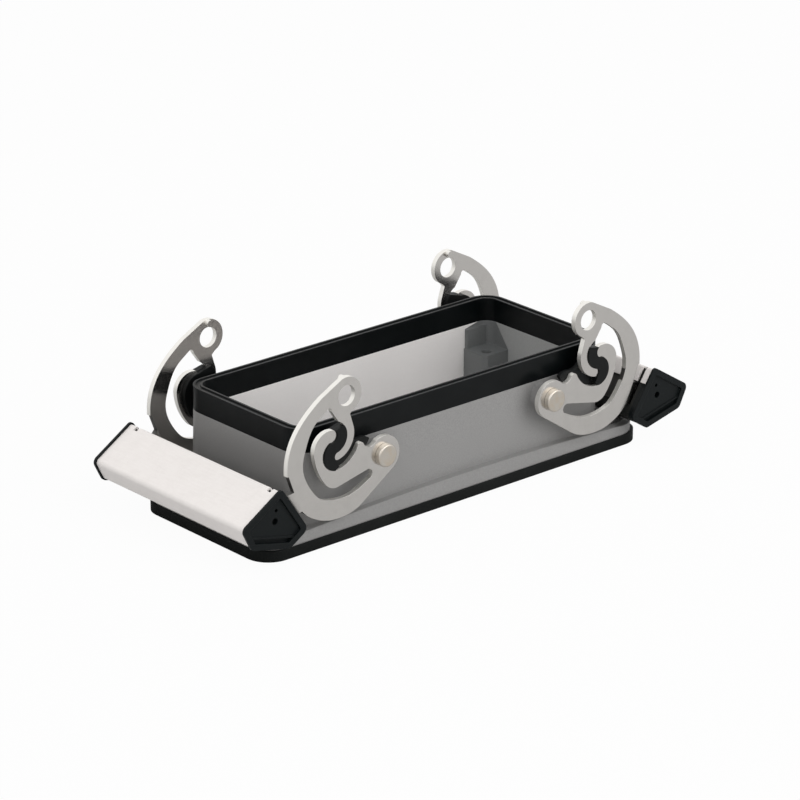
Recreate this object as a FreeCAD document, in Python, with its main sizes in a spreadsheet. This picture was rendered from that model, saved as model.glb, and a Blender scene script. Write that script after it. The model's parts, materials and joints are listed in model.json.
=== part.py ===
import FreeCAD, Part
import math
import os
import Sketcher

# Bulkhead-mounting base of a heavy duty rectangular connector with two locking levers.
# Millimetres. Origin: centre of the gasket's underside. X along the base, Y across, Z up.

SIZES = {
    # gasket under the flange
    "gasket_thickness": 2.6,
    "gasket_overhang_end": 0.3,
    "gasket_overhang_side": 0.2,
    "gasket_radius": 6.0,
    "gasket_opening_inset": 1.8,
    "gasket_hole_clearance": 0.25,
    # mounting flange of the housing, arched down towards its ends
    "flange_end": 11.2,
    "flange_side": 2.0,
    "flange_radius": 7.0,
    "flange_thickness": 3.8,
    "flange_arch_drop": 1.76,
    # housing wall and its tongue
    "wall_length": 94.0,
    "wall_width": 40.6,
    "wall_radius": 5.3,
    "wall_draft": 0.3,
    "wall_thickness": 2.2,
    "tongue_inset": 0.6,
    "tongue_rise": 4.5,
    # insert screw bosses and pads in the cavity corners
    "boss_inset_x": 7.0,
    "boss_inset_y": 7.3,
    "boss_side_x": 2.8,
    "boss_side_y": 2.4,
    "boss_chamfer": 1.0,
    "boss_drop": 5.9,
    "boss_thread_radius": 1.25,
    "boss_thread_depth": 9.0,
    "corner_pad_set": 0.3,
    "corner_pad_step": 0.8,
    "corner_pad_drop": 1.0,
    # fixing holes
    "fixing_stand": 4.5,
    "fixing_edge": 6.3,
    "fixing_radius": 2.25,
    "fixing_seat_radius": 4.2,
    "fixing_seat_sink": 1.9,
    # seal on the tongue
    "seal_crown": 1.2,
    "seal_lip_width": 0.55,
    "seal_lip_depth": 0.3,
    # lever pivots
    "pivot_radius": 1.8,
    "pivot_fit": 0.06,
    "pivot_boss_radius": 2.7,
    "pivot_boss_margin": 0.8,
    "pivot_boss_stand": 3.35,
    "pin_socket_depth": 4.75,
    "pin_end_gap": 0.05,
    "pin_head_radius": 2.7,
    "pin_head_height": 1.4,
    "pin_head_gap": 0.05,
    # lever plates
    "plate_gap": 0.1,
    "plate_thickness": 1.25,
    "eye_radius": 2.45,
    "stub_radius": 0.8,
    "stub_length": 0.9,
    "stub_gap": 0.25,
    "joggle_tilt": 24.0,
    "joggle_shift": 1.5,
    "joggle_run": 3.3,
    "bracket_depth": 4.6,
    # slide track inserts
    "insert_clearance": 0.05,
    "insert_proud": 0.3,
    "insert_flange": 1.0,
    # grip
    "grip_stand": 2.7,
    "grip_clearance": 0.26,
    "cap_clearance": 0.2,
    "cap_thickness": 1.8,
    "cap_flange": 0.6,
    "cap_sheet_gap": 0.05,
    "cap_rim_step": 0.4,
    "cap_rim_width": 1.45,
    "cap_groove_width": 1.0,
    "cap_rib_width": 0.4,
    "cap_rib_sink": 0.35,
    "cap_recess": 0.6,
    "cap_groove_depth": 1.1,
    "cap_hole_radius": 0.78,
    "cap_vent_radius": 0.42,
    "cover_thickness": 0.5,
    "cover_fit": 0.05,
    "cover_lip": 4.1,
    "cover_lip_gap": 0.25,
    "cover_return": 1.6,
    "notch_inset": 1.23,
    "notch_width": 1.2,
    "notch_bite": 1.1,
    "core_step": 0.2,
    "core_rebate_gap": 0.15,
    "core_pocket_fit": 0.05,
    "core_pocket_side": 0.9,
    "core_hole_depth": 1.5,
}

# Grip section, (outward, up) distances from the pivot axis with the lever open
GRIP = [(31.3, 0.7), (42.5, -6.35), (39.9, -11.6), (29.1, -14.1), (23.8, -10.7)]
GRIP_RADII = [1.0, 1.5, 1.6, 1.3, 1.6]
GRIP_NEAR = min(p[0] for p in GRIP)
GRIP_DEPTH = -min(p[1] for p in GRIP)
CAP_HOLE = (32.85, -6.77)
CAP_VENT = (32.5, -4.27)

FOLLOWING = {
    "flange_length": "wall_length + 2 * flange_end",
    "flange_width": "wall_width + 2 * flange_side",
    "flange_top": "gasket_thickness + flange_thickness",
    "gasket_length": "flange_length + 2 * gasket_overhang_end",
    "gasket_width": "flange_width + 2 * gasket_overhang_side",
    "fixing_x": "wall_length / 2 + fixing_stand",
    "fixing_y": "flange_width / 2 - fixing_edge",
    "pivot_x": f"wall_length / 2 + grip_stand - {GRIP_NEAR}",
    "pivot_z": f"flange_top - flange_arch_drop + grip_clearance + {GRIP_DEPTH}",
    "shoulder_height": "pivot_z + pivot_boss_radius + pivot_boss_margin",
    "tongue_height": "shoulder_height + tongue_rise",
    "seal_height": "tongue_height + seal_crown",
    "boss_x": "wall_length / 2 - boss_inset_x",
    "boss_y": "wall_width / 2 - boss_inset_y",
    "boss_height": "shoulder_height - boss_drop",
    "corner_pad_height": "shoulder_height - corner_pad_drop",
    "pivot_boss_face": "wall_width / 2 + pivot_boss_stand",
    "plate_inner": "pivot_boss_face + plate_gap",
    "plate_outer": "plate_inner + plate_thickness",
    "grip_inside": "plate_outer + cap_clearance",
    "grip_half_length": "grip_inside + cap_thickness",
    "plug_end": "grip_half_length - cap_flange",
    "cover_half_length": "plug_end - cap_sheet_gap",
}

doc = FreeCAD.newDocument("connector_base")
sheet = doc.addObject("Spreadsheet::Sheet", "Dimensions")
cells = {name: str(value) for name, value in SIZES.items()}
cells.update({name: "=" + formula for name, formula in FOLLOWING.items()})
for row, name in enumerate(cells, 1):
    sheet.set(f"A{row}", name)
    sheet.setAlias(f"B{row}", name)
for row, text in enumerate(cells.values(), 1):
    sheet.set(f"B{row}", text)
doc.recompute()

S = {name: float(sheet.get(name)) for name in cells}
V = FreeCAD.Vector
bodies = []


def new_body(name):
    body = doc.addObject("PartDesign::Body", name)
    body.Label = name
    bodies.append(body)
    return body


def new_sketch(body, name, role, offset=None, turn=None):
    """Sketch on one of the body's origin planes; offset is an expression along its normal."""
    sketch = body.newObject("Sketcher::SketchObject", name)
    plane = [f for f in body.Origin.OriginFeatures if f.Role == role][0]
    sketch.AttachmentSupport = [(plane, "")]
    sketch.MapMode = "FlatFace"
    if turn is not None:
        sketch.AttachmentOffset = turn
    if offset is not None:
        sketch.setExpression("AttachmentOffset.Base.z", offset)
    return sketch


def rounded_rect(sketch, length, width, radius, centre=(0.0, 0.0)):
    """Rounded rectangle about the origin; the three sizes are expressions."""
    first = sketch.GeometryCount
    tag = f"r{first}"
    a, b, r = 20.0, 10.0, 2.0
    z = V(0, 0, 1)
    lines = [((-a + r, -b), (a - r, -b)), ((a, -b + r), (a, b - r)),
             ((a - r, b), (-a + r, b)), ((-a, b - r), (-a, -b + r))]
    for p, q in lines:
        sketch.addGeometry(Part.LineSegment(V(*p, 0), V(*q, 0)), False)
    arcs = [(a - r, -b + r, -90), (a - r, b - r, 0), (-a + r, b - r, 90), (-a + r, -b + r, 180)]
    for x, y, start in arcs:
        circle = Part.Circle(V(x, y, 0), z, r)
        t0 = math.radians(start)
        sketch.addGeometry(Part.ArcOfCircle(circle, t0, t0 + math.pi / 2), False)
    for i in range(4):
        line = first + i
        arc = first + 4 + i
        following = first + (i + 1) % 4
        sketch.addConstraint(Sketcher.Constraint("Tangent", line, 2, arc, 1))
        sketch.addConstraint(Sketcher.Constraint("Tangent", arc, 2, following, 1))
    for i in (0, 2):
        sketch.addConstraint(Sketcher.Constraint("Horizontal", first + i))
        sketch.addConstraint(Sketcher.Constraint("Vertical", first + i + 1))
    for i in range(1, 4):
        sketch.addConstraint(Sketcher.Constraint("Equal", first + 4, first + 4 + i))
    sketch.addConstraint(Sketcher.Constraint("Symmetric", first, 1, first + 2, 1, -1, 1))
    k = sketch.addConstraint(Sketcher.Constraint("DistanceX", first + 3, 1, first + 1, 2, 2 * a))
    sketch.renameConstraint(k, tag + "_length")
    k = sketch.addConstraint(Sketcher.Constraint("DistanceY", first, 2, first + 2, 1, 2 * b))
    sketch.renameConstraint(k, tag + "_width")
    k = sketch.addConstraint(Sketcher.Constraint("Radius", first + 4, r))
    sketch.renameConstraint(k, tag + "_radius")
    sketch.setExpression(f"Constraints.{tag}_length", length)
    sketch.setExpression(f"Constraints.{tag}_width", width)
    sketch.setExpression(f"Constraints.{tag}_radius", radius)


def circles(sketch, centres, radius):
    """Equal circles; radius is an expression, centres are expressions times a sign."""
    for sx, ex, sy, ey in centres:
        n = sketch.GeometryCount
        sketch.addGeometry(Part.Circle(V(sx, sy, 0), V(0, 0, 1), 1), False)
        for word, sign, size in (("x", sx, ex), ("y", sy, ey)):
            kind = "DistanceX" if word == "x" else "DistanceY"
            k = sketch.addConstraint(Sketcher.Constraint(kind, -1, 1, n, 3, sign))
            sketch.renameConstraint(k, f"c{n}_{word}")
            sketch.setExpression(f"Constraints.c{n}_{word}", f"{sign} * ({size})")
        k = sketch.addConstraint(Sketcher.Constraint("Radius", n, 1.0))
        sketch.renameConstraint(k, f"c{n}_radius")
        sketch.setExpression(f"Constraints.c{n}_radius", radius)


def outline(sketch, start, moves, place=lambda p: p):
    """Closed outline from moves: a point is a line, a pair of points an arc, a list a curve."""
    here = place(start)
    for move in moves:
        if isinstance(move, list):
            points = [V(*here, 0)] + [V(*place(p), 0) for p in move]
            curve = Part.BSplineCurve()
            curve.interpolate(points)
            sketch.addGeometry(curve, False)
            here = place(move[-1])
        elif isinstance(move[0], tuple):
            middle, end = place(move[0]), place(move[1])
            arc = Part.Arc(V(*here, 0), V(*middle, 0), V(*end, 0))
            sketch.addGeometry(arc, False)
            here = end
        else:
            end = place(move)
            sketch.addGeometry(Part.LineSegment(V(*here, 0), V(*end, 0)), False)
            here = end


def pad(body, sketch, name, length, both=False, back=False):
    feature = body.newObject("PartDesign::Pad", name)
    feature.Profile = sketch
    feature.setExpression("Length", length)
    if both:
        feature.SideType = "Symmetric"
    feature.Reversed = back
    sketch.Visibility = False
    body.Tip = feature
    return feature


def pocket(body, sketch, name, length=None, both=False, back=False):
    feature = body.newObject("PartDesign::Pocket", name)
    feature.Profile = sketch
    if length is None:
        feature.Type = "ThroughAll"
    else:
        feature.setExpression("Length", length)
    if both:
        feature.SideType = "Symmetric"
    feature.Reversed = back
    sketch.Visibility = False
    body.Tip = feature
    return feature


def inset(points, distance):
    """Polygon moved inwards by one distance per side (side i runs from point i to the next)."""
    n = len(points)
    gaps = distance if isinstance(distance, (list, tuple)) else [distance] * n
    sides = []
    for i in range(n):
        (x0, y0), (x1, y1) = points[i], points[(i + 1) % n]
        length = math.hypot(x1 - x0, y1 - y0)
        dx, dy = (x1 - x0) / length, (y1 - y0) / length
        sides.append((x0 + dy * gaps[i], y0 - dx * gaps[i], dx, dy))
    moved = []
    for i in range(n):
        xa, ya, ua, va = sides[i - 1]
        xb, yb, ub, vb = sides[i]
        t = ((xb - xa) * vb - (yb - ya) * ub) / (ua * vb - va * ub)
        moved.append((xa + t * ua, ya + t * va))
    return moved


def along(p, q, distance):
    length = math.hypot(q[0] - p[0], q[1] - p[1])
    return (p[0] + (q[0] - p[0]) * distance / length, p[1] + (q[1] - p[1]) * distance / length)


def meet(p, q, line):
    """Where the line from p to q crosses a line given by a point and a direction."""
    (x, y), (dx, dy) = line
    ux, uy = q[0] - p[0], q[1] - p[1]
    t = ((x - p[0]) * dy - (y - p[1]) * dx) / (ux * dy - uy * dx)
    return (p[0] + t * ux, p[1] + t * uy)


D = "Dimensions."
FOUR = [(sx, sy) for sx in (-1, 1) for sy in (-1, 1)]


def fixing_holes(sketch, radius):
    circles(sketch, [(sx, D + "fixing_x", sy, D + "fixing_y") for sx, sy in FOUR], radius)


# Gasket under the flange
gasket = new_body("base_gasket")
sk = new_sketch(gasket, "gasket_outline", "XY_Plane")
rounded_rect(sk, D + "gasket_length", D + "gasket_width", D + "gasket_radius")
OPENING = "2 * " + D + "gasket_opening_inset"
rounded_rect(sk, D + "wall_length - " + OPENING, D + "wall_width - " + OPENING,
             D + "wall_radius - " + D + "gasket_opening_inset")
fixing_holes(sk, D + "fixing_radius + " + D + "gasket_hole_clearance")
pad(gasket, sk, "gasket_pad", D + "gasket_thickness")

# Housing: arched flange, drafted wall, tongue for the seal
housing = new_body("housing")
sk = new_sketch(housing, "flange_outline", "XY_Plane", D + "gasket_thickness")
rounded_rect(sk, D + "flange_length", D + "flange_width", D + "flange_radius")
pad(housing, sk, "flange_pad", D + "flange_thickness")

sk = new_sketch(housing, "flange_arch", "XZ_Plane")
half = S["flange_length"] / 2
reach = half + 2.0
top = S["flange_top"]
low = top - S["flange_arch_drop"] * (reach / half) ** 2
outline(sk, (-reach, low), [((0, top), (reach, low)), (reach, top + 2), (-reach, top + 2),
                            (-reach, low)])
pocket(housing, sk, "flange_arch_cut", both=True)

foot = new_sketch(housing, "wall_foot", "XY_Plane", D + "gasket_thickness")
rounded_rect(foot, D + "wall_length + 2 * " + D + "wall_draft",
             D + "wall_width + 2 * " + D + "wall_draft", D + "wall_radius")
head = new_sketch(housing, "wall_head", "XY_Plane", D + "shoulder_height")
rounded_rect(head, D + "wall_length", D + "wall_width", D + "wall_radius")
wall = housing.newObject("PartDesign::AdditiveLoft", "wall_loft")
wall.Profile = foot
wall.Sections = [head]
wall.Ruled = True
housing.Tip = wall

INSET = "2 * " + D + "tongue_inset"
sk = new_sketch(housing, "tongue_outline", "XY_Plane", D + "shoulder_height")
rounded_rect(sk, D + "wall_length - " + INSET, D + "wall_width - " + INSET,
             D + "wall_radius - " + D + "tongue_inset")
pad(housing, sk, "tongue_pad", D + "tongue_height - " + D + "shoulder_height")

WALLS = "2 * " + D + "wall_thickness"
sk = new_sketch(housing, "cavity_outline", "XY_Plane", D + "tongue_height")
rounded_rect(sk, D + "wall_length - " + WALLS, D + "wall_width - " + WALLS,
             D + "wall_radius - " + D + "wall_thickness")
pocket(housing, sk, "cavity")

LEG = "2 * (" + D + "wall_thickness - " + D + "tongue_inset)"
sk = new_sketch(housing, "tongue_inside", "XY_Plane", D + "tongue_height")
rounded_rect(sk, D + "wall_length - " + LEG, D + "wall_width - " + LEG,
             D + "wall_radius - " + D + "wall_thickness + " + D + "tongue_inset")
pocket(housing, sk, "tongue_inside_cut", D + "tongue_height - " + D + "shoulder_height")

# Screw bosses and corner pads: blocks reaching a little into the walls
REACH_X = S["wall_length"] / 2 - S["wall_thickness"] + 0.4
REACH_Y = S["wall_width"] / 2 - S["wall_thickness"] + 0.4


def corner_blocks(sketch, near_x, near_y, cut):
    for sx, sy in FOUR:
        box = [(near_x, REACH_Y), (REACH_X, REACH_Y), (REACH_X, near_y), (near_x + cut, near_y),
               (near_x, near_y + cut)]
        outline(sketch, (near_x, near_y + cut), box, lambda p: (sx * p[0], sy * p[1]))


sk = new_sketch(housing, "boss_blocks", "XY_Plane", D + "gasket_thickness")
NEAR_X = S["boss_x"] - S["boss_side_x"]
NEAR_Y = S["boss_y"] - S["boss_side_y"]
corner_blocks(sk, NEAR_X, NEAR_Y, S["boss_chamfer"])
pad(housing, sk, "boss_pads", D + "boss_height - " + D + "gasket_thickness")
sk = new_sketch(housing, "corner_pad_blocks", "XY_Plane", D + "gasket_thickness")
corner_blocks(sk, NEAR_X + S["corner_pad_set"],
              S["wall_width"] / 2 - S["wall_thickness"] - S["corner_pad_step"], 0.2)
pad(housing, sk, "corner_pads", D + "corner_pad_height - " + D + "gasket_thickness")
sk = new_sketch(housing, "boss_threads", "XY_Plane", D + "boss_height")
circles(sk, [(sx, D + "boss_x", sy, D + "boss_y") for sx, sy in FOUR], D + "boss_thread_radius")
pocket(housing, sk, "boss_thread_holes", D + "boss_thread_depth")

sk = new_sketch(housing, "fixing_seats", "XY_Plane", D + "flange_top")
fixing_holes(sk, D + "fixing_seat_radius")
pocket(housing, sk, "fixing_seat_cuts", D + "fixing_seat_sink")
sk = new_sketch(housing, "fixing_holes", "XY_Plane", D + "flange_top")
fixing_holes(sk, D + "fixing_radius")
pocket(housing, sk, "fixing_hole_cuts", D + "flange_thickness + 1")

# Pivot bosses on the long walls, each with a blind hole for its pin
BOSS_ROOT = D + "wall_width / 2 - 0.8"
for side, word in ((-1, "front"), (1, "rear")):
    root, face = f"({BOSS_ROOT})", D + "pivot_boss_face"
    sk = new_sketch(housing, f"pivot_bosses_{word}", "XZ_Plane",
                    root if side < 0 else "-" + face)
    circles(sk, [(sx, D + "pivot_x", 1, D + "pivot_z") for sx in (-1, 1)],
            D + "pivot_boss_radius")
    pad(housing, sk, f"pivot_boss_pads_{word}", face + " - " + root)
for side, word in ((-1, "front"), (1, "rear")):
    face = D + "pivot_boss_face"
    sk = new_sketch(housing, f"pivot_holes_{word}", "XZ_Plane", face if side < 0 else "-" + face)
    circles(sk, [(sx, D + "pivot_x", 1, D + "pivot_z") for sx in (-1, 1)], D + "pivot_radius")
    pocket(housing, sk, f"pivot_hole_cuts_{word}", D + "pin_socket_depth", back=side > 0)

# Seal: a U section pressed over the tongue, two lips along its top
seal = new_body("rim_seal")
sk = new_sketch(seal, "seal_outline", "XY_Plane", D + "shoulder_height")
rounded_rect(sk, D + "wall_length", D + "wall_width", D + "wall_radius")
rounded_rect(sk, D + "wall_length - " + WALLS, D + "wall_width - " + WALLS,
             D + "wall_radius - " + D + "wall_thickness")
pad(seal, sk, "seal_pad", D + "seal_height - " + D + "shoulder_height")
sk = new_sketch(seal, "seal_groove", "XY_Plane", D + "tongue_height")
rounded_rect(sk, D + "wall_length - " + INSET, D + "wall_width - " + INSET,
             D + "wall_radius - " + D + "tongue_inset")
rounded_rect(sk, D + "wall_length - " + LEG, D + "wall_width - " + LEG,
             D + "wall_radius - " + D + "wall_thickness + " + D + "tongue_inset")
pocket(seal, sk, "seal_groove_cut", D + "tongue_height - " + D + "shoulder_height")
LIP_OUT = "2 * " + D + "seal_lip_width"
LIP_IN = "2 * (" + D + "wall_thickness - " + D + "seal_lip_width)"
sk = new_sketch(seal, "seal_lips", "XY_Plane", D + "seal_height")
rounded_rect(sk, D + "wall_length - " + LIP_OUT, D + "wall_width - " + LIP_OUT,
             D + "wall_radius - " + D + "seal_lip_width")
rounded_rect(sk, D + "wall_length - " + LIP_IN, D + "wall_width - " + LIP_IN,
             D + "wall_radius - " + D + "wall_thickness + " + D + "seal_lip_width")
pocket(seal, sk, "seal_lip_cut", D + "seal_lip_depth")

# Lever outlines: (outward, up) distances from the pivot axis
EYE = (11.0, 16.9)
STUB_HEIGHT = EYE[1] + S["eye_radius"] + S["stub_gap"] + S["stub_radius"]
PLATE_START = (12.2, 21.05)
WEB_ROOT = 0.8
BEND_LOW = (23.9, -7.3)
TILT = math.radians(S["joggle_tilt"])
BEND_UP = (math.sin(TILT), math.cos(TILT))
COVER_EDGE = inset(GRIP, S["cap_rim_step"])
LIP_END = along(COVER_EDGE[0], COVER_EDGE[4], S["cover_lip"])
LIP_HEIGHT = sum((LIP_END[i] - BEND_LOW[i]) * BEND_UP[i] for i in (0, 1))
BRACKET_LENGTH = LIP_HEIGHT - S["cover_lip_gap"]
BRACKET_CUT = (LIP_END, (BEND_UP[1], -BEND_UP[0]))
BEND_HIGH = (BEND_LOW[0] + BRACKET_LENGTH * BEND_UP[0],
             BEND_LOW[1] + BRACKET_LENGTH * BEND_UP[1])
# sides of the S-shaped channel: the spring arm's inner side and the hook finger's outer side
ARM_SIDE = ((14.1, -0.1), (17.75, 3.1), (15.7, 6.8))
ARM_TIP = ((15.7, 6.8), (13.9, 8.1), (15.4, 9.7))
FINGER_SIDE = ((13.3, 11.3), (11.0, 7.7), (13.7, 4.2))
FINGER_TIP = ((13.7, 4.2), (14.6, 3.1), (13.4, 2.3))
PLATE = [
    # outer arm down to the bend line
    (18.1, 18.0),
    [(22.1, 15.0), (24.4, 12.7), (26.4, 9.8), (27.8, 6.0), (28.1, 3.6)],
    (28.1, 1.9),
    (27.7, 1.9),
    BEND_HIGH,
    BEND_LOW,
    # underside and rounded pivot end
    [(22.1, -9.0), (19.1, -10.7), (16.1, -11.6), (13.1, -11.8), (10.1, -11.5), (6.9, -10.3)],
    (-2.7, -3.8),
    ((-4.55, 0.2), (2.4, 3.8)),
    # notch and spike beside the pivot, then the mouth of the slide track
    ((4.1, 2.9), (5.9, 3.9)),
    ((7.1, 4.6), (7.6, 4.2)),
    ((10.1, 1.2), ARM_SIDE[0]),
    ARM_SIDE[1:],
    ARM_TIP[1:],
    # outer side of the spring arm
    ((19.1, 8.5), (20.4, 5.0)),
    ((19.5, 1.3), (16.9, -3.0)),
    ((15.2, -4.1), (12.9, -4.05)),
    (4.9, -2.3),
    # C-shaped slot: rounded end, then the inner side of the outer arm
    ((3.5, -3.1), (4.2, -4.6)),
    [(8.0, -6.4), (10.5, -7.1), (13.2, -7.2), (16.0, -6.8), (18.3, -6.0), (20.5, -4.0),
     (22.2, -1.5), (23.3, 1.0), (23.6, 4.0), (23.0, 6.5), (22.1, 9.0), (20.3, 12.0),
     (18.1, 13.8), (16.5, 14.9)],
    # neck and the hook finger
    ((15.6, 14.9), (15.3, 14.2)),
    FINGER_SIDE[0],
    FINGER_SIDE[1:],
    FINGER_TIP[1:],
    ((9.5, 5.1), (9.2, 9.8)),
    (10.0, 12.3),
    ((9.3, 13.0), (8.2, 13.7)),
    ((7.3, 19.1), PLATE_START),
]
TRACK_FLANGE_START = (3.3, 4.4)
TRACK_FLANGE = [
    [(5.6, 5.2), (8.2, 5.3), (9.6, 6.4), (10.0, 8.4), (11.0, 10.2)],
    (14.6, 9.2),
    [(17.2, 8.2), (18.8, 5.4), (18.2, 1.6), (16.0, -1.8), (13.0, -2.4), (9.6, -1.4), (7.4, 0.4),
     (5.6, 2.2), (4.3, 3.0), (3.3, 4.4)],
]


def beside(point, side, gap):
    """Point moved to stand off an arc by a gap; a negative gap stands outside the arc's circle."""
    circle = Part.Circle(*(V(*p, 0) for p in side))
    return along((circle.Center.x, circle.Center.y), point, circle.Radius - gap)


def between(point, first, first_gap, second, second_gap):
    """Point near the meeting of two arcs that stands off both."""
    for _ in range(20):
        point = beside(beside(point, first, first_gap), second, second_gap)
    return point


def track_outline(gap):
    """Start point and moves of the slide track that fills the channel with a gap all round."""
    top, tip = [beside(p, ARM_TIP, -gap) for p in ((14.6, 9.2), ARM_TIP[1])]
    arm_corner = between(ARM_SIDE[2], ARM_SIDE, gap, ARM_TIP, -gap)
    arm, low = [beside(p, ARM_SIDE, gap) for p in (ARM_SIDE[1], (14.5, 0.0))]
    finger_low, finger_tip = [beside(p, FINGER_TIP, -gap) for p in ((14.3, 2.5), FINGER_TIP[1])]
    finger_corner = between(FINGER_SIDE[2], FINGER_SIDE, gap, FINGER_TIP, -gap)
    finger, start = [beside(p, FINGER_SIDE, gap) for p in (FINGER_SIDE[1], (11.5, 10.2))]
    moves = [top, (tip, arm_corner), (arm, low), (13.4, 0.7), finger_low,
             (finger_tip, finger_corner), (finger, start)]
    return start, moves


def rounded(points, radii):
    """Start point and moves of a closed polygon with rounded corners."""
    moves = []
    start = None
    n = len(points)
    for i in range(n):
        p, before, after = points[i], points[i - 1], points[(i + 1) % n]
        a = math.atan2(before[1] - p[1], before[0] - p[0])
        b = math.atan2(after[1] - p[1], after[0] - p[0])
        half = abs(math.remainder(a - b, 2 * math.pi)) / 2
        cut = radii[i] / math.tan(half)
        first, last = along(p, before, cut), along(p, after, cut)
        middle_way = ((first[0] + last[0]) / 2, (first[1] + last[1]) / 2)
        centre = along(p, middle_way, radii[i] / math.sin(half))
        crown = along(centre, p, radii[i])
        if start is None:
            start = first
        else:
            moves.append(first)
        moves.append((crown, last))
    moves.append(start)
    return start, moves


def shrink(radii, by):
    return [max(r - by, 0.3) for r in radii]


def across(p, q, distance):
    """Line square to the side from p to q, at a distance from p."""
    return along(p, q, distance), (q[1] - p[1], p[0] - q[0])


def core_section():
    """Start and moves of the core's section: sunk under the folded sheet, bare elsewhere."""
    sunk = S["cap_rim_step"] + S["cover_thickness"] + S["cover_fit"]
    under, bare = inset(GRIP, sunk), inset(GRIP, S["core_step"])
    gap = S["core_rebate_gap"]
    low = across(COVER_EDGE[2], COVER_EDGE[3], S["cover_return"] + gap)
    high = across(COVER_EDGE[0], COVER_EDGE[4], S["cover_lip"] + gap)
    section = [*under[:3], meet(under[2], under[3], low), meet(bare[2], bare[3], low),
               *bare[3:], meet(bare[4], bare[0], high), meet(under[4], under[0], high)]
    radii = [*shrink(GRIP_RADII, sunk)[:3], 0.1, 0.1,
             *shrink(GRIP_RADII, S["core_step"])[3:], 0.1, 0.1]
    return rounded(section, radii)


def cap_holes(sketch, sign):
    circles(sketch, [(sign, str(CAP_HOLE[0]), -1, str(-CAP_HOLE[1]))], D + "cap_hole_radius")
    circles(sketch, [(sign, str(CAP_VENT[0]), -1, str(-CAP_VENT[1]))], D + "cap_vent_radius")


def seat(body, sign):
    """Put a lever part's own origin on its pivot axis."""
    body.setExpression("Placement.Base.x", f"{sign} * {D}pivot_x")
    body.setExpression("Placement.Base.z", D + "pivot_z")


def side_sketch(body, name, face):
    """Sketch across the lever; face is the Y where a pad towards -Y starts."""
    return new_sketch(body, name, "XZ_Plane", f"-({face})")


def pad_between(body, name, start, moves, place, low, high, extra=None):
    """Pad of an outline between two expressions for Y."""
    sketch = side_sketch(body, name + "_outline", high)
    outline(sketch, start, moves, place)
    if extra is not None:
        extra(sketch)
    return pad(body, sketch, name, f"({high}) - ({low})")


def bend_sketch(body, name, sign):
    """Sketch square to the bend line: x outwards across the bend, y along the pivot axis."""
    base = V(sign * BEND_LOW[0], 0, BEND_LOW[1])
    turn = FreeCAD.Placement(base, FreeCAD.Rotation(V(0, 1, 0), sign * S["joggle_tilt"]))
    return new_sketch(body, name, "XY_Plane", turn=turn)


OUTER = D + "plate_outer"
INNER = D + "plate_inner"
yo, t, shift = S["plate_outer"], S["plate_thickness"], S["joggle_shift"]
run, depth = S["joggle_run"], S["bracket_depth"]
bend_back = t * math.tan(math.atan2(shift, run) / 2)

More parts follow.
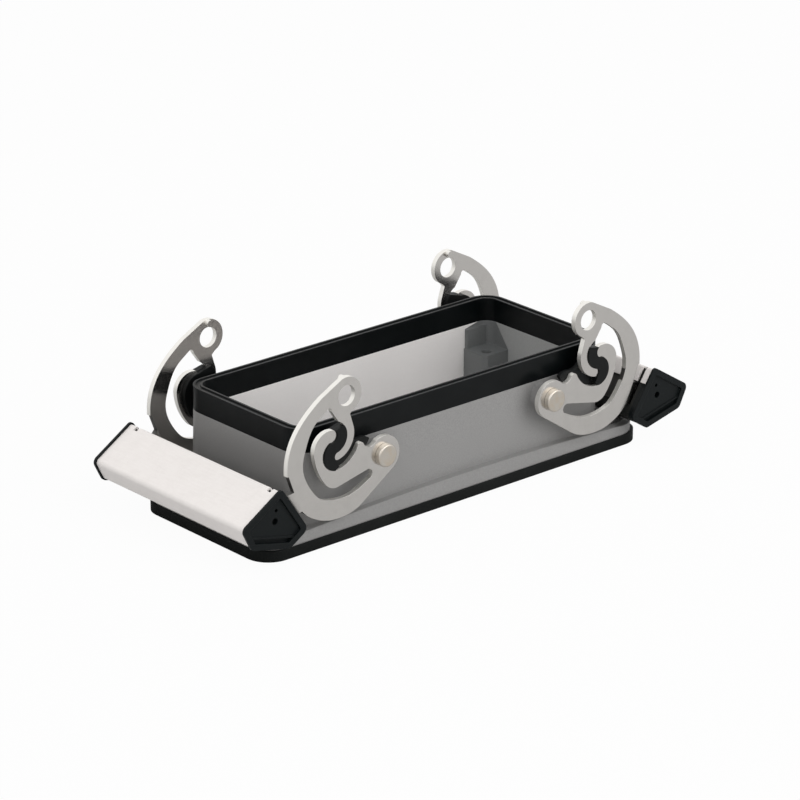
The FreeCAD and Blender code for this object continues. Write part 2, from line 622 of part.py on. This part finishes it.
for sign, word in ((-1, "left"), (1, "right")):
    def place(p, sign=sign):
        return (sign * p[0], p[1])

    # Steel lever: two plates, joggled inwards, joined by a web inside the grip
    frame = new_body(f"lever_frame_{word}")
    seat(frame, sign)

    def holes(sketch, sign=sign):
        circles(sketch, [(sign, str(EYE[0]), 1, str(EYE[1]))], D + "eye_radius")
        n = sketch.GeometryCount
        sketch.addGeometry(Part.Circle(V(0, 0, 0), V(0, 0, 1), 1), False)
        sketch.addConstraint(Sketcher.Constraint("Coincident", n, 3, -1, 1))
        k = sketch.addConstraint(Sketcher.Constraint("Radius", n, 1.0))
        sketch.renameConstraint(k, "pivot_hole")
        sketch.setExpression("Constraints.pivot_hole", D + "pivot_radius + " + D + "pivot_fit")

    def stubs(low, high, name, frame=frame, sign=sign):
        sketch = side_sketch(frame, name + "_outline", high)
        circles(sketch, [(sign, str(EYE[0]), 1, str(STUB_HEIGHT))], D + "stub_radius")
        pad(frame, sketch, name, f"({high}) - ({low})")

    pad_between(frame, "plate_front", PLATE_START, PLATE, place, "-" + OUTER, "-" + INNER, holes)
    sk = bend_sketch(frame, "bracket_profile", sign)
    web = [(-WEB_ROOT, -yo), (0.0, -yo), (run, -yo + shift), (depth, -yo + shift)]
    web += [(x, -y) for x, y in reversed(web)]
    back = [(-WEB_ROOT, yo - t), (-bend_back, yo - t), (run - bend_back, yo - shift - t),
            (depth - t, yo - shift - t)]
    web += back + [(x, -y) for x, y in reversed(back)] + web[:1]
    outline(sk, web[0], web[1:], place)
    pad(frame, sk, "bracket", str(BRACKET_LENGTH))
    pad_between(frame, "plate_rear", PLATE_START, PLATE, place, INNER, OUTER, holes)
    stubs(f"-{INNER}", f"-{INNER} + {D}stub_length", "stub_front")
    stubs(f"{INNER} - {D}stub_length", INNER, "stub_rear")

    # Plastic slide tracks in the S-shaped channel of each plate
    for side, where in ((-1, "front"), (1, "rear")):
        track = new_body(f"track_insert_{word}_{where}")
        seat(track, sign)
        back = f"({INNER} - {D}insert_clearance)"
        top = f"({OUTER} + {D}insert_proud)"
        low, high = (f"-{top}", f"-{back}") if side < 0 else (back, top)
        pad_between(track, "track", *track_outline(S["insert_clearance"]), place, low, high)
        rear = f"({back} - {D}insert_flange)"
        low, high = (f"-{back}", f"-{rear}") if side < 0 else (rear, back)
        pad_between(track, "track_flange", TRACK_FLANGE_START, TRACK_FLANGE, place, low, high)

    # Grip core: plastic bar behind the cover, hollowed for the lever's web
    ENDS = D + "grip_inside"
    core = new_body(f"grip_core_{word}")
    seat(core, sign)
    sk = new_sketch(core, "core_section", "XZ_Plane")
    outline(sk, *core_section(), place)
    pad(core, sk, "core_bar", "2 * " + ENDS, both=True)
    sk = bend_sketch(core, "core_pocket", sign)
    fit = S["core_pocket_fit"]
    hole_y = yo - shift + S["core_pocket_side"]
    box = [(-4.0, -hole_y), (depth + fit, -hole_y), (depth + fit, hole_y), (-4.0, hole_y)]
    outline(sk, box[3], box, place)
    pocket(core, sk, "core_pocket_cut", str(BRACKET_LENGTH + fit), back=True)
    for side, where in ((-1, "front"), (1, "rear")):
        sk = new_sketch(core, f"core_holes_{where}", "XZ_Plane", ENDS if side < 0 else "-" + ENDS)
        cap_holes(sk, sign)
        pocket(core, sk, f"core_hole_cuts_{where}", D + "core_hole_depth", back=side > 0)

    # Pale sheet cover folded over the core, notched along its top fold
    cover = new_body(f"grip_cover_{word}")
    seat(cover, sign)
    step, sheet_gauge = S["cap_rim_step"], S["cover_thickness"]
    inner_edge = inset(GRIP, step + sheet_gauge)
    lip_in = meet(inner_edge[0], inner_edge[4], BRACKET_CUT)
    turn_out = along(COVER_EDGE[2], COVER_EDGE[3], S["cover_return"])
    turn_in = along(inner_edge[2], inner_edge[3], S["cover_return"] - sheet_gauge)
    section = [LIP_END, COVER_EDGE[0], COVER_EDGE[1], COVER_EDGE[2], turn_out,
               turn_in, inner_edge[2], inner_edge[1], inner_edge[0], lip_in]
    sheet_radii = shrink(GRIP_RADII, step)
    bend_in = shrink(GRIP_RADII, step + sheet_gauge)
    corners = [0.12, *sheet_radii[:3], 0.12, 0.12, bend_in[2], bend_in[1], bend_in[0], 0.12]
    sk = new_sketch(cover, "cover_section", "XZ_Plane")
    outline(sk, *rounded(section, corners), place)
    pad(cover, sk, "cover_sheet", "2 * " + D + "cover_half_length", both=True)
    sk = new_sketch(cover, "cover_notches", "XY_Plane")
    x0, x1 = LIP_END[0] - 0.5, COVER_EDGE[0][0] + S["notch_bite"]
    for side in (-1, 1):
        middle = yo - S["notch_inset"]
        y0, y1 = middle - S["notch_width"] / 2, middle + S["notch_width"] / 2
        outline(sk, (x0, y0), [(x1, y0), (x1, y1), (x0, y1), (x0, y0)],
                lambda p: (sign * p[0], side * p[1]))
    pocket(cover, sk, "cover_notch_cuts", f"2 * ({D}cover_lip + {D}cover_thickness)", both=True)

    # End caps: plug behind a raised rim, sunk panel, rib and groove along the bottom, two holes
    for side, where in ((-1, "front"), (1, "rear")):
        cap = new_body(f"grip_cap_{word}_{where}")
        seat(cap, sign)
        far, plug = D + "grip_half_length", D + "plug_end"
        low, high = (f"-{plug}", f"-{ENDS}") if side < 0 else (ENDS, plug)
        pad_between(cap, "cap_plug", *core_section(), place, low, high)
        low, high = (f"-{far}", f"-{plug}") if side < 0 else (plug, far)
        pad_between(cap, "cap_flange", *rounded(GRIP, GRIP_RADII), place, low, high)
        rim, groove = S["cap_rim_width"], S["cap_groove_width"]
        inside = inset(GRIP, rim)
        above_groove = inset(GRIP, [rim, rim, rim + groove, rim, rim])
        panel = inset(GRIP, [rim, rim, rim + groove + S["cap_rib_width"], rim, rim])
        strip = [above_groove[2], inside[2], inside[3], above_groove[3]]
        steps = (("rib_seat", inside, [0.3, 0.5, 0.5, 0.4, 0.5], "cap_rib_sink"),
                 ("panel", panel, [0.3, 0.5, 0.2, 0.2, 0.5], "cap_recess"),
                 ("groove", strip, [0.1, 0.5, 0.4, 0.1], "cap_groove_depth"))
        face = far if side < 0 else f"-{far}"
        for name, points, radii, sink in steps:
            sk = new_sketch(cap, "cap_" + name, "XZ_Plane", face)
            outline(sk, *rounded(points, radii), place)
            pocket(cap, sk, f"cap_{name}_cut", D + sink, back=side > 0)
        sk = new_sketch(cap, "cap_holes", "XZ_Plane", face)
        cap_holes(sk, sign)
        pocket(cap, sk, "cap_hole_cuts", D + "cap_thickness + 1", back=side > 0)

# Pivot pins: pressed into the housing bosses, heads outside the plates
for sign, word in ((-1, "left"), (1, "right")):
    for side, where in ((-1, "front"), (1, "rear")):
        pin = new_body(f"pivot_pin_{word}_{where}")
        seat(pin, sign)
        r, rh = S["pivot_radius"], S["pin_head_radius"]
        y0 = S["pivot_boss_face"] - S["pin_socket_depth"] + S["pin_end_gap"]
        y1 = S["plate_outer"] + S["pin_head_gap"]
        y2 = y1 + S["pin_head_height"]
        sk = new_sketch(pin, "pin_profile", "XY_Plane")
        profile = [(r - 0.2, y0), (r, y0 + 0.2), (r, y1), (rh, y1), (rh, y2 - 0.4),
                   ((rh - 0.12, y2 - 0.12), (rh - 0.4, y2)), (0, y2), (0, y0)]
        outline(sk, (0, y0), profile, lambda p: (p[0], side * p[1]))
        turned = pin.newObject("PartDesign::Revolution", "pin_turned")
        turned.Profile = sk
        turned.ReferenceAxis = (sk, ["V_Axis"])
        turned.Angle = 360
        pin.Tip = turned

doc.recompute()

os.makedirs("parts", exist_ok=True)
for feature in doc.Objects:
    if "Invalid" in feature.State or "Error" in feature.State:
        raise RuntimeError(f"{feature.Name} of {feature.getParentGroup()} did not compute")
for body in bodies:
    shape = body.Shape
    if shape.isNull() or not shape.isValid() or len(shape.Solids) != 1:
        raise RuntimeError(f"{body.Label}: {len(shape.Solids)} solids, valid {shape.isValid()}")
    shape.exportStep(f"parts/{body.Label}.step")
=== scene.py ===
import json
import math

import bpy
from mathutils import Matrix, Vector

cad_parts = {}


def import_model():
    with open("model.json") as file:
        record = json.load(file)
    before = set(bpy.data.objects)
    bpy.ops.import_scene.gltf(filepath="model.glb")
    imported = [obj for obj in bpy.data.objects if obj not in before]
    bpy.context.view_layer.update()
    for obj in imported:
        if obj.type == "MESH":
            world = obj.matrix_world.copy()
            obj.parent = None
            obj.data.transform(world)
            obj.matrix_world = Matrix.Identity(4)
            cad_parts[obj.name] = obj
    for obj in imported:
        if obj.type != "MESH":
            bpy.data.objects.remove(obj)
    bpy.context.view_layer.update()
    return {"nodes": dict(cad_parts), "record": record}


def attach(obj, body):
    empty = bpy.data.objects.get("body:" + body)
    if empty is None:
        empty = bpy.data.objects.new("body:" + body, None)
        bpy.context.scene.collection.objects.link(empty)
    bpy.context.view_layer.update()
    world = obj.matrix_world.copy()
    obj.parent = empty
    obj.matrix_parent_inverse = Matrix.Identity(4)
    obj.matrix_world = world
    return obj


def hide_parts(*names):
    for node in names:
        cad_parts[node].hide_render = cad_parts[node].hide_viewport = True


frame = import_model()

# Bulkhead-mounting base of a rectangular connector with two locking levers.
# Metres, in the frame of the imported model. MM turns millimetres into metres.
MM = 0.001
NODES = frame["nodes"]
BODY = {n: b for b, names in frame["record"]["behaviour"]["bodies"].items() for n in names}

# Lever pivots, and where the grip starts from them: outward, and up to this height; plate
# edges there are darkened as painted shade
PIVOT_X, PIVOT_Z = 25.9 * MM, 19.0 * MM
GRIP_START, GRIP_TOP = 22.5 * MM, 1.85 * MM

# The cavity: planes inside the walls' thickness, and its height up to the shoulder
CAVITY_X, CAVITY_Y = 45.5 * MM, 19.0 * MM
CAVITY_LOW, CAVITY_HIGH = 1.2 * MM, 22.6 * MM
# The plain stretch of each inner wall, between the pads and bosses of the corners
LONG_WALL_Y, LONG_WALL_HALF = 17.0 * MM, 37.4 * MM
SHORT_WALL_X, SHORT_WALL_HALF = 44.0 * MM, 10.5 * MM
SQUARE_ON = 0.9     # a wall's normal along its axis
ACROSS = 0.5        # a sheet face's normal along Y, at least

# Floor and light
FLOOR_HALF = 6.0
FLOOR_DROP = 0.02 * MM
FLOOR_TONE = 0.94
FLOOR_SEEN = 0.96   # share of plain white in what is seen of the floor
SKY_LEVEL = 0.42
AIM = (0.0, 0.0, 15.0 * MM)

# Camera, fitted to the photograph: angles in degrees, look-at point, distance in mm
AZIMUTH, ELEVATION, ROLL = -41.378, 21.263, 0.208
LOOK_AT = Vector((10.743, 11.305, 12.0)) * MM
DISTANCE = 920.305
SENSOR, LENS = 36.0, 175.19


# Shader helpers


def linear(*rgb):
    """sRGB 0-255 to a linear colour."""
    out = []
    for c in rgb:
        c /= 255.0
        out.append(c / 12.92 if c <= 0.04045 else ((c + 0.055) / 1.055) ** 2.4)
    return (*out, 1.0)


def tinted(colour, gain, lift=0.0):
    """A colour made lighter or darker, kept within full white."""
    return tuple(min(1.0, c * gain + lift) for c in colour[:3]) + (1.0,)


class Shader:
    """A material with its Principled node, and short calls for the nodes that feed it."""

    def __init__(self, name, colour, **constants):
        self.material = bpy.data.materials.new(name)
        self.material.use_nodes = True
        self.tree = self.material.node_tree
        self.bsdf = self.tree.nodes["Principled BSDF"]
        self.bsdf.inputs["Base Color"].default_value = colour
        for socket, value in constants.items():
            self.bsdf.inputs[socket.replace("_", " ")].default_value = value
        coordinates = self.tree.nodes.new("ShaderNodeTexCoord")
        self.place = coordinates.outputs["Object"]

    def link(self, source, target):
        self.tree.links.new(source, target)

    def into(self, node, socket, value):
        """Link a socket's output, or set a plain number or colour."""
        if isinstance(value, bpy.types.NodeSocket):
            self.link(value, node.inputs[socket])
        else:
            node.inputs[socket].default_value = value

    def stretched(self, x, y, z):
        """Object coordinates scaled per axis, for grain that runs one way."""
        node = self.tree.nodes.new("ShaderNodeMapping")
        node.inputs["Scale"].default_value = (x, y, z)
        self.link(self.place, node.inputs["Vector"])
        return node.outputs["Vector"]

    def noise(self, size, detail=2.0, rough=0.5, vector=None):
        """Noise with features about size metres wide."""
        node = self.tree.nodes.new("ShaderNodeTexNoise")
        node.inputs["Scale"].default_value = 1.0 / size
        node.inputs["Detail"].default_value = detail
        node.inputs["Roughness"].default_value = rough
        self.link(vector or self.place, node.inputs["Vector"])
        return node.outputs["Fac"]

    def span(self, value, low, high, to_low, to_high):
        """Carry the range low..high over to to_low..to_high."""
        node = self.tree.nodes.new("ShaderNodeMapRange")
        node.inputs["From Min"].default_value = low
        node.inputs["From Max"].default_value = high
        node.inputs["To Min"].default_value = to_low
        node.inputs["To Max"].default_value = to_high
        self.link(value, node.inputs["Value"])
        return node.outputs["Result"]

    def maths(self, operation, a, b):
        node = self.tree.nodes.new("ShaderNodeMath")
        node.operation = operation
        self.into(node, 0, a)
        self.into(node, 1, b)
        return node.outputs["Value"]

    def blend(self, factor, a, b):
        """Colour a at factor 0, colour b at factor 1."""
        node = self.tree.nodes.new("ShaderNodeMix")
        node.data_type = "RGBA"
        self.into(node, 0, factor)
        self.into(node, 6, a)
        self.into(node, 7, b)
        return node.outputs[2]

    def colour(self, value):
        self.link(value, self.bsdf.inputs["Base Color"])

    def roughness(self, value):
        self.link(value, self.bsdf.inputs["Roughness"])

    def bump(self, height, distance, strength, edge):
        """Surface relief; edge rounds the light on sharp edges by that radius."""
        node = self.tree.nodes.new("ShaderNodeBump")
        node.inputs["Strength"].default_value = strength
        node.inputs["Distance"].default_value = distance
        self.link(height, node.inputs["Height"])
        soft = self.tree.nodes.new("ShaderNodeBevel")
        soft.samples = 4
        soft.inputs["Radius"].default_value = edge
        self.link(soft.outputs["Normal"], node.inputs["Normal"])
        self.link(node.outputs["Normal"], self.bsdf.inputs["Normal"])


def powder_coat(name, colour, speckle, rough):
    """Textured powder coat: orange peel, fine light and dark grains, faint cloudiness."""
    s = Shader(name, colour, Metallic=0.0, Specular_IOR_Level=0.35)
    fine = s.noise(0.22 * MM, 3.0, 0.6)
    peel = s.noise(0.75 * MM, 2.0, 0.5)
    cloud = s.noise(14 * MM, 3.0, 0.5)
    dark, light = tinted(colour, 1 - speckle), tinted(colour, 1 + speckle)
    grains = s.blend(s.span(fine, 0.38, 0.62, 0.0, 1.0), dark, light)
    s.colour(s.blend(s.span(cloud, 0.3, 0.7, 0.0, 0.35), grains, tinted(colour, 0.9)))
    s.roughness(s.span(fine, 0.3, 0.7, rough - 0.07, rough + 0.08))
    relief = s.maths("ADD", s.maths("MULTIPLY", peel, 0.7), s.maths("MULTIPLY", fine, 0.3))
    s.bump(relief, 0.03 * MM, 0.6, edge=0.45 * MM)
    return s.material


def rubber(name, colour, rough, grain):
    """Moulded rubber: soft grain under a faint dusty bloom."""
    s = Shader(name, colour, Metallic=0.0, Specular_IOR_Level=0.15)
    grains = s.noise(grain, 4.0, 0.6)
    bloom = s.noise(9 * MM, 3.0, 0.55)
    dusty = tinted(colour, 1.7, 0.004)
    s.colour(s.blend(s.span(bloom, 0.4, 0.75, 0.0, 0.6), colour, dusty))
    s.roughness(s.span(grains, 0.3, 0.7, rough - 0.06, rough + 0.08))
    s.bump(grains, 0.02 * MM, 0.5, edge=0.25 * MM)
    return s.material


def moulded(name, colour, rough, grain):
    """Glass-filled moulded plastic: eroded grain with slightly shiny crests."""
    s = Shader(name, colour, Metallic=0.0, Specular_IOR_Level=0.15)
    grains = s.noise(grain, 3.0, 0.65)
    patches = s.noise(5 * MM, 2.0, 0.5)
    pale = tinted(colour, 1.5, 0.003)
    s.colour(s.blend(s.span(grains, 0.42, 0.7, 0.0, 0.5), colour, pale))
    mixed = s.maths("ADD", grains, s.maths("MULTIPLY", patches, 0.5))
    s.roughness(s.span(mixed, 0.5, 1.0, rough - 0.08, rough + 0.08))
    s.bump(grains, 0.02 * MM, 0.45, edge=0.16 * MM)
    return s.material


def rolled_steel(name, colour, rough, stretch, grain_depth, wear=0.5):
    """Sheet steel: tumbled satin with faint rolling grain; wear is the marks' strength."""
    s = Shader(name, colour, Metallic=1.0)
    rolling = s.noise(0.5 * MM, 4.0, 0.6, s.stretched(*stretch))
    tumble = s.noise(0.35 * MM, 3.0, 0.6)
    marks = s.noise(3.2 * MM, 4.0, 0.7)
    s.colour(s.blend(s.span(marks, 0.45, 0.7, 0.0, wear), colour, tinted(colour, 0.9)))
    mixed = s.maths("ADD", s.maths("MULTIPLY", rolling, 0.6), s.maths("MULTIPLY", tumble, 0.4))
    worn = s.maths("ADD", mixed, s.maths("MULTIPLY", marks, 0.35))
    s.roughness(s.span(worn, 0.45, 0.9, rough - 0.06, rough + 0.09))
    s.bump(mixed, grain_depth, 0.4, edge=0.08 * MM)
    return s.material


def turned_steel(name, colour, rough):
    """Pin steel: satin with faint warm stains."""
    s = Shader(name, colour, Metallic=1.0)
    grains = s.noise(0.25 * MM, 4.0, 0.65)
    stains = s.noise(1.6 * MM, 3.0, 0.6)
    warm = (colour[0], colour[1] * 0.93, colour[2] * 0.84, 1.0)
    s.colour(s.blend(s.span(stains, 0.42, 0.68, 0.0, 0.8), colour, warm))
    s.roughness(s.span(grains, 0.3, 0.7, rough - 0.05, rough + 0.1))
    s.bump(grains, 0.006 * MM, 0.4, edge=0.08 * MM)
    return s.material


# Materials; a steel's grain is drawn out along the axis with the small number
COAT = powder_coat("housing_coat", linear(153, 152, 151), 0.1, 0.46)
# The cavity's inner faces: a near-white coat on the long walls, partly a paler finish and
# partly painted light; a lighter coat on the end walls as painted light; a darker coat on the
# corner pads and bosses as painted shade
LONG_WALL_PALE_PAINTED_LIGHT = powder_coat("long_wall_pale_painted_light", linear(250, 247, 245), 0.02, 0.4)
END_WALL_PAINTED_LIGHT = powder_coat("end_wall_painted_light", linear(168, 169, 168), 0.08, 0.46)
CORNER_PAINTED_SHADE = powder_coat("corner_painted_shade", linear(118, 120, 120), 0.08, 0.5)
GASKET = rubber("gasket_rubber", linear(7, 10, 9), 0.55, 0.3 * MM)
SEAL = rubber("seal_rubber", linear(3, 6, 7), 0.34, 0.4 * MM)
ALONG, ACROSS_EDGE, DOWN_GRIP = (0.15, 1.0, 1.0), (1.0, 0.06, 1.0), (1.0, 0.12, 1.0)
STEEL = rolled_steel("lever_steel", linear(206, 203, 199), 0.19, ALONG, 0.0012 * MM)
# Plate edges: a lighter steel as a painted highlight on the shear-cut edges, which are also
# rougher; a dark steel as painted shade on the edges beside the grip
EDGE_PAINTED_HIGHLIGHT = rolled_steel("plate_edge_painted_highlight", linear(240, 238, 233), 0.5, ACROSS_EDGE, 0.003 * MM)
GRIP_EDGE_PAINTED_SHADE = rolled_steel("grip_edge_painted_shade", linear(96, 95, 93), 0.5, ACROSS_EDGE, 0.003 * MM)
PIN = turned_steel("pin_steel", linear(200, 194, 185), 0.34)
TRACK = moulded("track_plastic", linear(13, 15, 15), 0.45, 0.18 * MM)
CAP = moulded("cap_plastic", linear(11, 16, 17), 0.42, 0.2 * MM)
CORE = moulded("core_plastic", linear(34, 35, 33), 0.5, 0.2 * MM)
SHEET = rolled_steel("cover_sheet", linear(236, 233, 231), 0.85, DOWN_GRIP, 0.001 * MM,
                     wear=0.12)


# Pieces that stand for the solids


def dressed(node, slot, *materials, pick=None):
    """A copy that stands for a node; pick gives the number of each face's material."""
    mesh = NODES[node].data.copy()
    mesh.name = node + "_finish"
    mesh.materials.clear()
    for material in materials:
        mesh.materials.append(material)
    if pick is not None:
        for polygon in mesh.polygons:
            polygon.material_index = pick(polygon.center, polygon.normal)
    piece = bpy.data.objects.new(node + "_finish", mesh)
    bpy.context.scene.collection.objects.link(piece)
    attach(piece, BODY[node])
    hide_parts(node)
    return piece


def cavity_light_and_shade(centre, normal):
    """0 outside; 1 long inner walls, a paler coat with painted light; 2 end inner walls, a
    lighter coat as painted light; 3 corner pads and insert bosses, a darker coat as painted
    shade.
    """
    x, y, z = abs(centre.x), abs(centre.y), centre.z
    if x > CAVITY_X or y > CAVITY_Y or not CAVITY_LOW < z < CAVITY_HIGH:
        return 0
    inward_x = centre.x * normal.x < 0 and abs(normal.x) > SQUARE_ON
    inward_y = centre.y * normal.y < 0 and abs(normal.y) > SQUARE_ON
    if inward_y and y > LONG_WALL_Y and x < LONG_WALL_HALF:
        return 1
    # End inner walls: a lighter copy of the coat, painted light
    if inward_x and x > SHORT_WALL_X and y < SHORT_WALL_HALF:
        return 2
    # Corner pads and bosses: a darker copy of the coat, painted shade
    return 3


def edge_highlight_and_shade(centre, normal):
    """0 sheet faces; 1 shear-cut plate edges, rougher and lighter as a painted highlight; 2
    edges beside the grip, darkened as painted shade.
    """
    if abs(normal.y) > ACROSS:
        return 0
    out, up = abs(centre.x) - PIVOT_X, centre.z - PIVOT_Z
    # Edges beside the grip get painted shade, the others a painted highlight
    return 2 if out > GRIP_START and up < GRIP_TOP else 1


dressed("base_gasket", "gasket_rubber", GASKET)
# The housing's cavity carries painted light on its walls and painted shade in its corners
dressed("housing", "housing_coat", COAT, LONG_WALL_PALE_PAINTED_LIGHT, END_WALL_PAINTED_LIGHT, CORNER_PAINTED_SHADE, pick=cavity_light_and_shade)
dressed("rim_seal", "seal_rubber", SEAL)
for side in ("left", "right"):
    # Lever plate edges carry a painted highlight, and painted shade beside the grip
    dressed(f"lever_frame_{side}", "lever_steel", STEEL, EDGE_PAINTED_HIGHLIGHT, GRIP_EDGE_PAINTED_SHADE, pick=edge_highlight_and_shade)
    dressed(f"grip_core_{side}", "core_plastic", CORE)
    dressed(f"grip_cover_{side}", "cover_sheet", SHEET)
    for end in ("front", "rear"):
        dressed(f"pivot_pin_{side}_{end}", "pin_steel", PIN)
        dressed(f"track_insert_{side}_{end}", "track_plastic", TRACK)
        dressed(f"grip_cap_{side}_{end}", "cap_plastic", CAP)


# Floor, light and camera


def seen_ray(tree, words):
    """1 for a camera ray and the kinds named, 0 for the others."""
    path = tree.nodes.new("ShaderNodeLightPath")
    total = path.outputs["Is Camera Ray"]
    for word in words:
        either = tree.nodes.new("ShaderNodeMath")
        either.operation = "MAXIMUM"
        tree.links.new(total, either.inputs[0])
        tree.links.new(path.outputs[word], either.inputs[1])
        total = either.outputs[0]
    return total


def floor():
    """A plain white floor that keeps the shadow."""
    mesh = bpy.data.meshes.new("floor")
    corners = [(-1, -1), (1, -1), (1, 1), (-1, 1)]
    mesh.from_pydata([(x * FLOOR_HALF, y * FLOOR_HALF, 0) for x, y in corners],
                     [], [(0, 1, 2, 3)])
    plane = bpy.data.objects.new("floor", mesh)
    plane.location.z = -FLOOR_DROP
    bpy.context.scene.collection.objects.link(plane)
    material = bpy.data.materials.new("floor_white")
    material.use_nodes = True
    tree = material.node_tree
    bsdf = tree.nodes["Principled BSDF"]
    bsdf.inputs["Base Color"].default_value = (FLOOR_TONE, FLOOR_TONE, FLOOR_TONE, 1.0)
    bsdf.inputs["Roughness"].default_value = 0.9
    bsdf.inputs["Specular IOR Level"].default_value = 0.0
    glow = tree.nodes.new("ShaderNodeEmission")
    mix = tree.nodes.new("ShaderNodeMixShader")
    share = tree.nodes.new("ShaderNodeMath")
    share.operation = "MULTIPLY"
    share.inputs[1].default_value = FLOOR_SEEN
    tree.links.new(seen_ray(tree, ["Is Transmission Ray"]), share.inputs[0])
    tree.links.new(share.outputs[0], mix.inputs[0])
    tree.links.new(bsdf.outputs[0], mix.inputs[1])
    tree.links.new(glow.outputs[0], mix.inputs[2])
    tree.links.new(mix.outputs[0], tree.nodes["Material Output"].inputs["Surface"])
    mesh.materials.append(material)


def world():
    """White where it is seen or mirrored, a plain soft level where it lights."""
    made = bpy.data.worlds.new("studio")
    bpy.context.scene.world = made
    made.use_nodes = True
    tree = made.node_tree
    back = tree.nodes["Background"]
    back.inputs["Color"].default_value = (1.0, 1.0, 1.0, 1.0)
    back.inputs["Strength"].default_value = SKY_LEVEL
    white = tree.nodes.new("ShaderNodeBackground")
    white.inputs["Color"].default_value = (1.0, 1.0, 1.0, 1.0)
    white.inputs["Strength"].default_value = 1.0
    mix = tree.nodes.new("ShaderNodeMixShader")
    tree.links.new(seen_ray(tree, ["Is Glossy Ray", "Is Transmission Ray"]), mix.inputs[0])
    tree.links.new(back.outputs[0], mix.inputs[1])
    tree.links.new(white.outputs[0], mix.inputs[2])
    tree.links.new(mix.outputs[0], tree.nodes["World Output"].inputs["Surface"])


def area_light(name, where, towards, size, level):
    """Square soft box; level 1 alone would light a white card facing it to full white."""
    data = bpy.data.lights.new(name, "AREA")
    data.shape = "SQUARE"
    data.size = size
    where, towards = Vector(where), Vector(towards)
    data.energy = level * math.pi ** 2 * (where - towards).length ** 2
    lamp = bpy.data.objects.new(name, data)
    lamp.location = where
    lamp.rotation_mode = "QUATERNION"
    lamp.rotation_quaternion = (towards - where).to_track_quat("-Z", "Y")
    bpy.context.scene.collection.objects.link(lamp)


def camera():
    """Camera at the photograph's viewing angle."""
    azimuth, elevation, roll = (math.radians(a) for a in (AZIMUTH, ELEVATION, ROLL))
    back = Vector((math.sin(azimuth) * math.cos(elevation),
                   -math.cos(azimuth) * math.cos(elevation), math.sin(elevation)))
    right = Vector((math.cos(azimuth), math.sin(azimuth), 0.0))
    up = back.cross(right)
    tilted = math.cos(roll) * right + math.sin(roll) * up
    data = bpy.data.cameras.new("camera")
    data.sensor_width = SENSOR
    data.lens = LENS
    data.clip_start, data.clip_end = 0.01, 50.0
    made = bpy.data.objects.new("camera", data)
    turn = Matrix((tilted, back.cross(tilted), back)).transposed()
    made.matrix_world = Matrix.Translation(LOOK_AT + back * DISTANCE * MM) @ turn.to_4x4()
    bpy.context.scene.collection.objects.link(made)
    bpy.context.scene.camera = made


camera()
floor()
world()
area_light("key", (0.35, -1.0, 0.66), AIM, size=1.2, level=0.45)
area_light("fill", (-0.9, -0.3, 0.8), AIM, size=0.9, level=0.17)
bpy.context.scene.view_settings.view_transform = "Standard"
